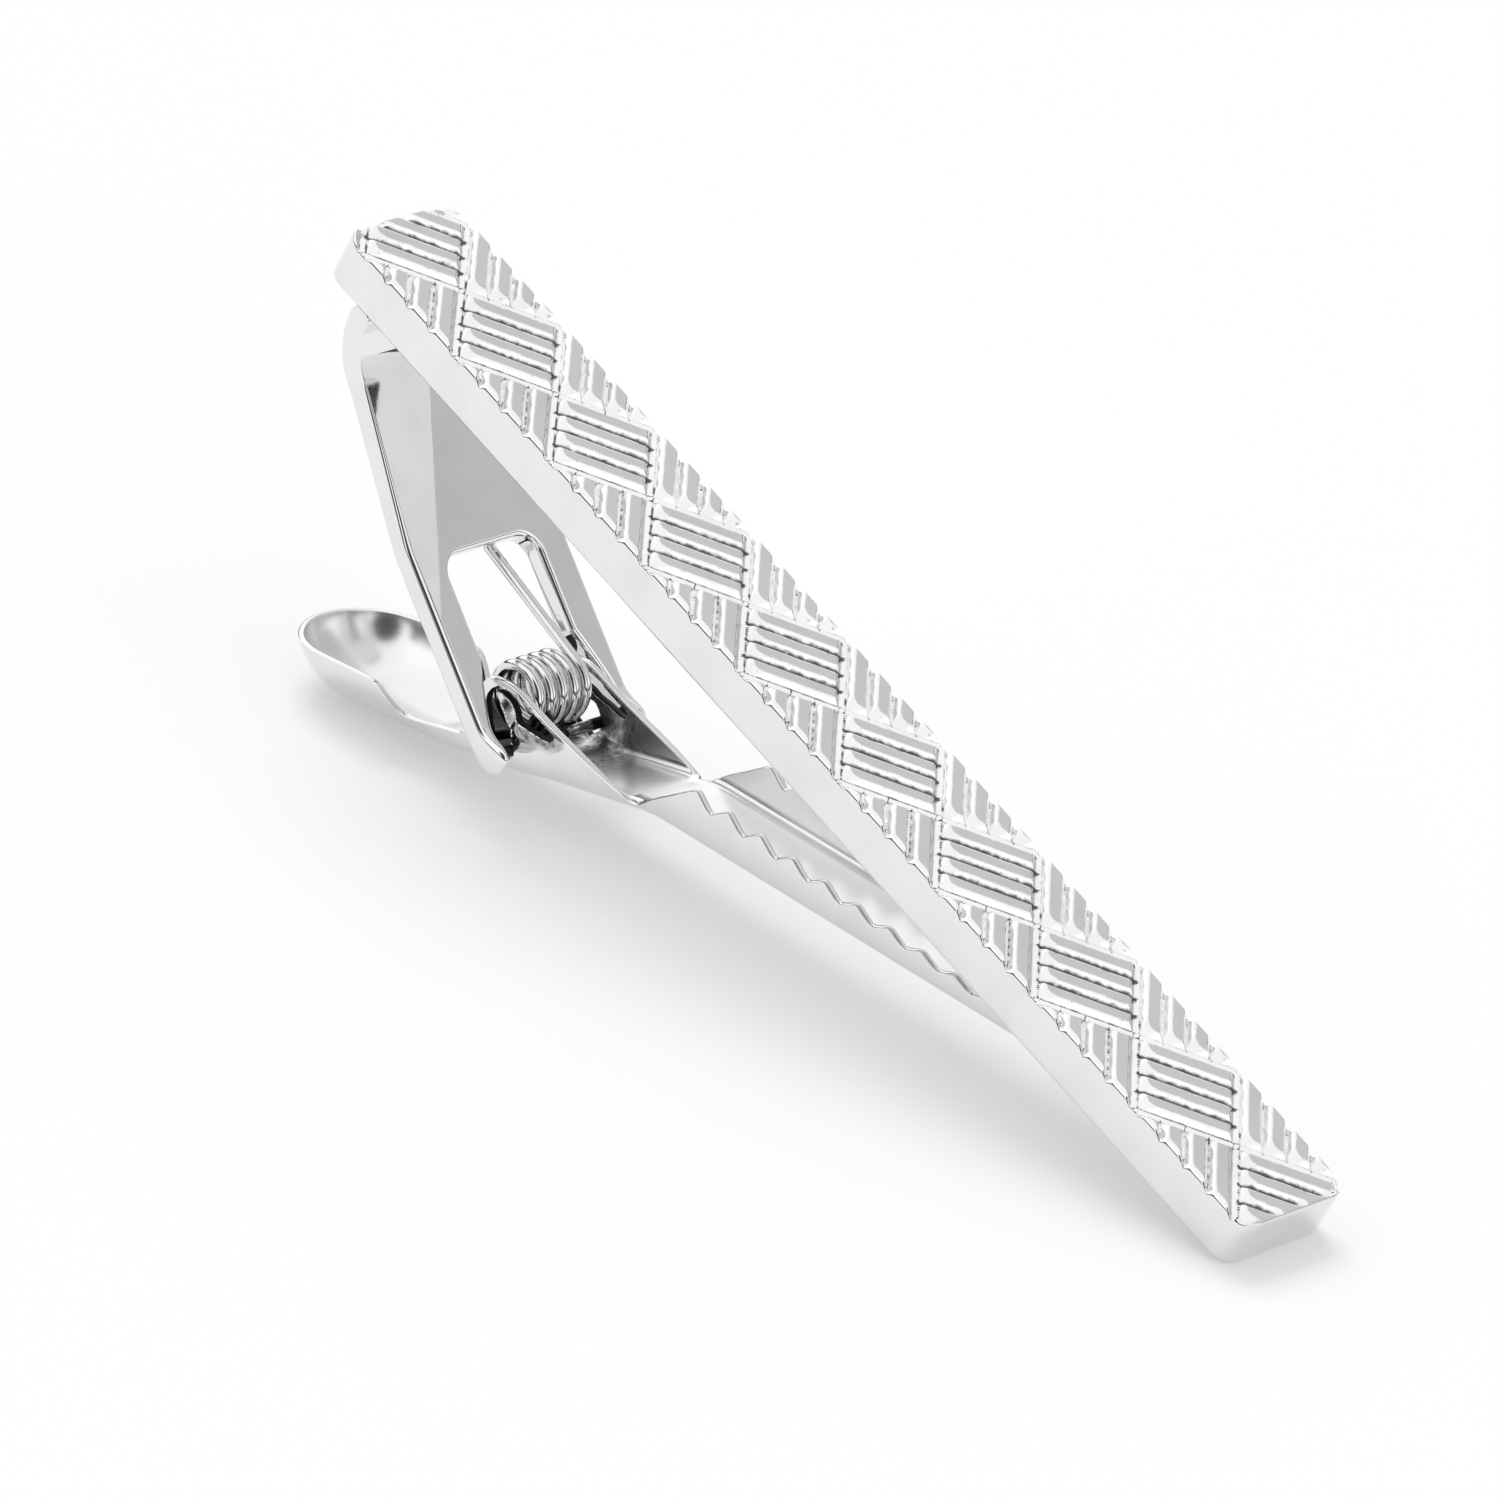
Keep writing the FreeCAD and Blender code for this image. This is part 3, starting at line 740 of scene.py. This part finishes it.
def make_clip_lever(material):
    """One stamping: an outer and an inner surface along the floor line, joined by rounded rims, with the
    pin's seat and the lanced openings cut through its cheeks."""
    level = dish_radius - dish_depth + rim_bulge
    outer_reach = math.sqrt(dish_radius ** 2 - level ** 2)
    inner_reach = math.sqrt((dish_radius - skin_dish) ** 2 - level ** 2)
    past = np.sin(np.linspace(math.pi / 2, 0, dish_rows))
    dish_end = -neck_length - dish_length
    run = np.linspace(dish_end, belly_length + jaw_length, lever_rows)[1:]
    surfaces = []
    for reach, depth in ((outer_reach, 0), (inner_reach, 1)):
        walk = np.concatenate([dish_end - past * reach, run])
        past_end = np.concatenate([past * reach, 0 * run])
        surface, side, tongue_and_band_shade = lever_surface(walk, past_end, depth)
        surfaces.append((surface, tongue_and_band_shade))
    (outer, outer_shade), (inner, _) = surfaces
    share = np.array(rim_shares)[None, :, None]
    bulge = side * rim_bulge * np.sin(math.pi * share) ** rim_power
    far_rim = outer[:, -1:] + (inner[:, -1:] - outer[:, -1:]) * share + bulge
    near_rim = inner[:, :1] + (outer[:, :1] - inner[:, :1]) * share + bulge
    loop = np.concatenate([outer, far_rim, inner[:, ::-1], near_rim], 1)
    rows, columns = loop.shape[:2]
    cap = np.arange(columns)[None, :] + (rows - 1) * columns
    faces = [grid_quads(rows, columns, closed=True), cap]
    # Painted shade inside: full near the hinge, mottled further along, starting from a line slanted across
    # the lever; a low value everywhere inside only makes it satin
    mottle = mottle_share * smooth_step((mottle_end - walk) / mottle_fade)
    shade = np.maximum(mottle, smooth_step((dark_end - walk) / dark_rise))[:, None]
    inside = shade * smooth_step((walk[:, None] + inner[:, ::-1, 1] - dark_start) / dark_rise)
    inside = np.maximum(inside, inner_satin)
    skins = [outer_shade, 0 * far_rim[..., 0], inside, 0 * near_rim[..., 0]]
    shade_and_satin = np.concatenate(skins, 1).ravel()
    lever = make_piece("toothed_lever", loop.reshape(-1, 3), faces, material, shade_and_satin)
    bore = pin_radius + rod_clearance
    turn = np.linspace(0, 2 * math.pi, seat_sides, endpoint=False)
    seat = np.stack([bore * np.cos(turn), rod_height + bore * np.sin(turn)], -1)
    for outline in (np.array(opening_outline), seat):
        cut_across(lever, outline)
    darken_cuts(lever)
    return lever


def cut_across(piece, outline):
    """Cuts a side-view outline, given along and above the belly's foot, right through a piece."""
    spots = belly_foot + belly_along * outline[:, :1] + belly_square * outline[:, 1:]
    y = np.array([-1, 1])[:, None] * lever_width
    sides = [np.concatenate([spots[:, :1], 0 * spots[:, :1] + v, spots[:, 1:]], 1) for v in y]
    count = len(outline)
    caps = np.stack([np.arange(count), np.arange(count) + count])
    cutter = make_piece("cutter", np.concatenate(sides), [grid_quads(2, count, closed=True), caps],
                        piece.data.materials[0])
    cut = piece.modifiers.new("cut", "BOOLEAN")
    cut.operation = "DIFFERENCE"
    cut.solver = "EXACT"
    cut.object = cutter
    made = bpy.data.meshes.new_from_object(piece.evaluated_get(bpy.context.evaluated_depsgraph_get()))
    piece.modifiers.remove(cut)
    piece.data = made
    bpy.data.objects.remove(cutter)


def darken_cuts(lever):
    """Painted shade at face corners: the points' own, but 1 on faces whose middle lies on the opening's
    outline, seen from the side, and on the near cheek's inner skin around the opening, so the opening looks
    dark."""
    mesh = lever.data
    corner_point = np.zeros(len(mesh.loops), int)
    mesh.loops.foreach_get("vertex_index", corner_point)
    shade_and_satin = np.zeros(len(mesh.vertices))
    mesh.attributes["shade_and_satin"].data.foreach_get("value", shade_and_satin)
    middle = np.zeros(len(mesh.polygons) * 3)
    mesh.polygons.foreach_get("center", middle)
    normal = np.zeros(len(mesh.polygons) * 3)
    mesh.polygons.foreach_get("normal", normal)
    sides = np.zeros(len(mesh.polygons), int)
    mesh.polygons.foreach_get("loop_total", sides)
    middle = middle.reshape(-1, 3)
    outward = normal.reshape(-1, 3)[:, 1] * np.sign(middle[:, 1])
    outline = np.array(opening_outline)
    spots = belly_foot + belly_along * outline[:, :1] + belly_square * outline[:, 1:]
    places = laid(np.stack([spots[:, 0], 0 * spots[:, 0], spots[:, 1]], -1))
    near = ((middle > places.min(0)) & (middle < places.max(0)))[:, [0, 2]].all(1)
    start = places[:, [0, 2]]
    way = np.roll(start, -1, 0) - start
    off = middle[:, None, [0, 2]] - start
    share = np.clip((off * way).sum(-1) / (way ** 2).sum(-1), 0, 1)
    to_cut = np.linalg.norm(off - way * share[..., None], axis=-1).min(1)
    dark = (to_cut < cut_reach * MM) | (near & (outward < inner_facing) & (middle[:, 1] < 0))
    corners = np.maximum(shade_and_satin[corner_point], np.repeat(dark, sides))
    mesh.attributes.remove(mesh.attributes["shade_and_satin"])
    depth = mesh.attributes.new("shade_and_satin", "FLOAT", "CORNER")
    depth.data.foreach_set("value", corners.astype(np.float32))


def make_torsion_spring(material):
    """A round wire: short leg, coil whose sideways rise eases in and out, and long leg."""
    radius = coil_diameter / 2 - wire_radius
    reach = pin_radius + coil_clearance + coil_diameter / 2
    centre = hinge + np.array([-math.sin(coil_lean), math.cos(coil_lean)]) * reach
    first = -math.pi / 2 + short_leg_slant
    last = math.pi / 2 + long_leg_slant + 2 * math.pi * coil_turns
    turn = np.linspace(first, last, coil_steps * coil_turns)
    slope = np.clip(np.minimum(turn - first, last - turn) / coil_ease, 0, 1)
    across = np.concatenate([[0], np.cumsum((slope[1:] + slope[:-1]) / 2)])
    across = coil_start + coil_length * across / across[-1]
    coil = np.stack([centre[0] + radius * np.cos(turn), across, centre[1] + radius * np.sin(turn)], -1)
    foot_way = np.array([-math.sin(first), 0, math.cos(first)])
    head_way = np.array([-math.sin(last), 0, math.cos(last)])
    foot = coil[0] - foot_way * np.linspace(short_leg_length, 0, short_leg_steps)[:-1, None]
    head = coil[-1] + head_way * np.linspace(0, long_leg_length, long_leg_steps)[1:, None]
    line = np.concatenate([foot, coil, head])
    points, faces, caps = tube(line, wire_radius, wire_sides, np.array([0, 1.0, 0]))
    # Painted shade on the spring's lower near side, below the cheek's edge
    height = (points[:, [0, 2]] - belly_foot) @ belly_square
    shade_and_satin = smooth_step((cheek_height - shade_below_cheek - height) / shade_reach)
    shade_and_satin = shade_and_satin * smooth_step(-points[:, 1] - shade_near_side)
    spring = make_piece("wound_spring", points, [faces, caps], material, shade_and_satin)
    return spring, laid(coil[-1]), laid(line[-1])


def make_camera():
    """A camera that looks at the target from the given azimuth and elevation, rolled about its axis."""
    flat = math.cos(view_elevation)
    back = Vector((math.sin(view_azimuth) * flat, -math.cos(view_azimuth) * flat, math.sin(view_elevation)))
    data = bpy.data.cameras.new("view")
    data.lens = lens_mm
    data.sensor_width = sensor_mm
    data.clip_start = clip_near
    data.clip_end = clip_far
    camera = bpy.data.objects.new("view", data)
    turn = back.to_track_quat("Z", "Y").to_matrix() @ Matrix.Rotation(view_roll, 3, "Z")
    camera.matrix_world = Matrix.Translation(view_target + back * view_distance) @ turn.to_4x4()
    bpy.context.collection.objects.link(camera)
    bpy.context.scene.camera = camera


def make_floor():
    """A plain pale sheet on the table: matt white, lit a little from below so that shadows stay light."""
    half = floor_size / 2
    corners = [(-half, -half, -floor_sink), (half, -half, -floor_sink),
               (half, half, -floor_sink), (-half, half, -floor_sink)]
    mesh = bpy.data.meshes.new("floor")
    mesh.from_pydata(corners, [], [(0, 1, 2, 3)])
    floor = bpy.data.objects.new("floor", mesh)
    bpy.context.collection.objects.link(floor)
    paper = bpy.data.materials.new("paper")
    paper.use_nodes = True
    shader = paper.node_tree.nodes["Principled BSDF"]
    shader.inputs["Base Color"].default_value = (floor_grey, floor_grey, floor_grey, 1)
    shader.inputs["Emission Color"].default_value = (1, 1, 1, 1)
    shader.inputs["Emission Strength"].default_value = floor_glow
    shader.inputs["Roughness"].default_value = floor_roughness
    shader.inputs["Specular IOR Level"].default_value = 0.0
    mesh.materials.append(paper)


def make_sun():
    """A broad soft light from overhead."""
    data = bpy.data.lights.new("overhead", "SUN")
    data.energy = sun_strength
    data.angle = sun_spread
    light = bpy.data.objects.new("overhead", data)
    light.visible_glossy = False
    light.rotation_euler = Vector(sun_from).to_track_quat("Z", "Y").to_euler()
    bpy.context.collection.objects.link(light)


def soft_switch(tree, value, low, high):
    """Node output that rises softly from 0 to 1 as a value goes from low to high."""
    ramp = tree.nodes.new("ShaderNodeMapRange")
    ramp.interpolation_type = "SMOOTHSTEP"
    ramp.inputs["From Min"].default_value = low
    ramp.inputs["From Max"].default_value = high
    tree.links.new(value, ramp.inputs["Value"])
    return ramp.outputs[0]


def mixed(tree, share, first, second):
    """Node output between two greys by a share; the first may be a grey or an output."""
    mix = tree.nodes.new("ShaderNodeMix")
    mix.data_type = "FLOAT"
    tree.links.new(share, mix.inputs[0])
    if isinstance(first, float):
        mix.inputs[2].default_value = first
    else:
        tree.links.new(first, mix.inputs[2])
    mix.inputs[3].default_value = second
    return mix.outputs[0]


def make_world():
    """A white studio: bright sides, a greyer ceiling, soft cards over cones and a dark gap low down, whose
    edge wavers with a noise over the directions."""
    world = bpy.data.worlds.new("studio")
    world.use_nodes = True
    tree = world.node_tree
    look = tree.nodes.new("ShaderNodeTexCoord")
    unit = tree.nodes.new("ShaderNodeVectorMath")
    unit.operation = "NORMALIZE"
    tree.links.new(look.outputs["Generated"], unit.inputs[0])
    parts = tree.nodes.new("ShaderNodeSeparateXYZ")
    tree.links.new(unit.outputs[0], parts.inputs[0])
    height = parts.outputs["Z"]
    shade = mixed(tree, soft_switch(tree, height, side_top, ceiling_start), side_white, ceiling_white)
    noise = tree.nodes.new("ShaderNodeTexNoise")
    noise.inputs["Scale"].default_value = waver_scale
    tree.links.new(unit.outputs[0], noise.inputs["Vector"])

    def wavered(value, reach):
        """A value plus the noise times a reach."""
        total = tree.nodes.new("ShaderNodeMath")
        total.operation = "MULTIPLY_ADD"
        total.inputs[1].default_value = reach
        tree.links.new(noise.outputs[0], total.inputs[0])
        tree.links.new(value, total.inputs[2])
        return total.outputs[0]

    for direction, inner, outer, grey in studio_cards:
        dot = tree.nodes.new("ShaderNodeVectorMath")
        dot.operation = "DOT_PRODUCT"
        dot.inputs[1].default_value = Vector(direction).normalized()
        tree.links.new(unit.outputs[0], dot.inputs[0])
        rim, core = (math.cos(math.radians(angle)) + card_waver / 2 for angle in (outer, inner))
        near = soft_switch(tree, wavered(dot.outputs["Value"], card_waver), rim, core)
        shade = mixed(tree, near, shade, grey)
    gap = soft_switch(tree, wavered(height, gap_waver), gap_high, gap_low)
    shade = mixed(tree, gap, shade, gap_grey)
    tree.links.new(shade, tree.nodes["Background"].inputs["Color"])
    bpy.context.scene.world = world


def make_polish():
    """Node group for polished plating: cloudy colour, fine uneven gloss and a faint ripple over the piece,
    a satin finish where the painted-shade value rises, and painted dark shade with a ragged edge where it
    is high."""
    group = bpy.data.node_groups.new("polish", "ShaderNodeTree")
    sockets = group.interface
    sockets.new_socket("Shade and satin", in_out="INPUT", socket_type="NodeSocketFloat")
    sockets.new_socket("Plating", in_out="INPUT", socket_type="NodeSocketColor")
    sockets.new_socket("Shade colour", in_out="INPUT", socket_type="NodeSocketColor")
    sockets.new_socket("Gloss", in_out="INPUT", socket_type="NodeSocketFloat")
    sockets.new_socket("Satin", in_out="INPUT", socket_type="NodeSocketFloat")
    sockets.new_socket("Colour", in_out="OUTPUT", socket_type="NodeSocketColor")
    sockets.new_socket("Roughness", in_out="OUTPUT", socket_type="NodeSocketFloat")
    sockets.new_socket("Ripple", in_out="OUTPUT", socket_type="NodeSocketFloat")
    nodes = group.nodes
    given = nodes.new("NodeGroupInput")
    made = nodes.new("NodeGroupOutput")
    spot = nodes.new("ShaderNodeTexCoord")
    cloud, grain, ragged = (nodes.new("ShaderNodeTexNoise") for _ in range(3))
    sizes = ((cloud, cloud_scale, cloud_detail), (grain, grain_scale, grain_detail),
             (ragged, ragged_scale, ragged_detail))
    for noise, scale, detail in sizes:
        noise.inputs["Scale"].default_value = scale
        noise.inputs["Detail"].default_value = detail
        group.links.new(spot.outputs["Object"], noise.inputs["Vector"])

    def sum_of(first, times, second):
        """First times a factor or an output, plus a second."""
        total = nodes.new("ShaderNodeMath")
        total.operation = "MULTIPLY_ADD"
        group.links.new(first, total.inputs[0])
        if isinstance(times, float):
            total.inputs[1].default_value = times
        else:
            group.links.new(times, total.inputs[1])
        group.links.new(second, total.inputs[2])
        return total.outputs[0]

    # Painted shade: the shade colour, duller, where the painted-shade value plus a ragged noise is high
    rough_edge = sum_of(ragged.outputs[0], ragged_reach, given.outputs["Shade and satin"])
    painted_dark = soft_switch(group, rough_edge, shade_start, shade_full)
    dull = soft_switch(group, cloud.outputs[0], cloud_start, cloud_full)
    tint = nodes.new("ShaderNodeMix")
    tint.data_type = "RGBA"
    group.links.new(dull, tint.inputs[0])
    group.links.new(given.outputs["Plating"], tint.inputs[6])
    tint.inputs[7].default_value = (*clouded_plating, 1)
    colour = nodes.new("ShaderNodeMix")
    colour.data_type = "RGBA"
    group.links.new(painted_dark, colour.inputs[0])
    group.links.new(tint.outputs[2], colour.inputs[6])
    group.links.new(given.outputs["Shade colour"], colour.inputs[7])
    group.links.new(colour.outputs[2], made.inputs["Colour"])
    gloss = sum_of(grain.outputs[0], grain_roughness, given.outputs["Gloss"])
    inside = soft_switch(group, given.outputs["Shade and satin"], 0, satin_full)
    satin = sum_of(inside, given.outputs["Satin"], gloss)
    group.links.new(sum_of(painted_dark, shade_roughness, satin), made.inputs["Roughness"])
    group.links.new(sum_of(grain.outputs[0], grain_height, cloud.outputs[0]), made.inputs["Ripple"])
    return group


def plating(name, polish, finish_values):
    """Bright plating on one piece: the polish with its own colours and gloss, its ripple as a low bump."""
    colour, shade_colour, gloss, ripple, satin = finish_values
    material = bpy.data.materials.new(name)
    material.use_nodes = True
    tree = material.node_tree
    shader = tree.nodes["Principled BSDF"]
    shader.inputs["Metallic"].default_value = 1.0
    depth = tree.nodes.new("ShaderNodeAttribute")
    depth.attribute_name = "shade_and_satin"
    finish = tree.nodes.new("ShaderNodeGroup")
    finish.node_tree = polish
    finish.inputs["Plating"].default_value = (*colour, 1)
    finish.inputs["Shade colour"].default_value = (*shade_colour, 1)
    finish.inputs["Gloss"].default_value = gloss
    finish.inputs["Satin"].default_value = satin
    bump = tree.nodes.new("ShaderNodeBump")
    bump.inputs["Strength"].default_value = 1.0
    bump.inputs["Distance"].default_value = ripple
    tree.links.new(depth.outputs["Fac"], finish.inputs["Shade and satin"])
    tree.links.new(finish.outputs["Colour"], shader.inputs["Base Color"])
    tree.links.new(finish.outputs["Roughness"], shader.inputs["Roughness"])
    tree.links.new(finish.outputs["Ripple"], bump.inputs["Height"])
    tree.links.new(bump.outputs["Normal"], shader.inputs["Normal"])
    return material


make_camera()
make_floor()
make_world()
make_sun()
polish = make_polish()
bar_plating = plating("bar_plating", polish, bar_finish)
bracket_plating = plating("bracket_plating", polish, bracket_finish)
lever_plating = plating("lever_plating", polish, lever_finish)
spring_plating = plating("spring_plating", polish, spring_finish)

bar = make_front_bar(bar_plating)
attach(bar, "clip_frame")
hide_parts("front_bar")
bracket = make_clasp_bracket(bracket_plating)
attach(bracket, "clip_frame")
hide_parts("clasp_bracket")
lever = make_clip_lever(lever_plating)
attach(lever, "lever")
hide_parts("clip_lever")
spring, leg_start, leg_end = make_torsion_spring(spring_plating)
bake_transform(spring)
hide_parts("torsion_spring")

bpy.context.scene.view_settings.view_transform = "Standard"
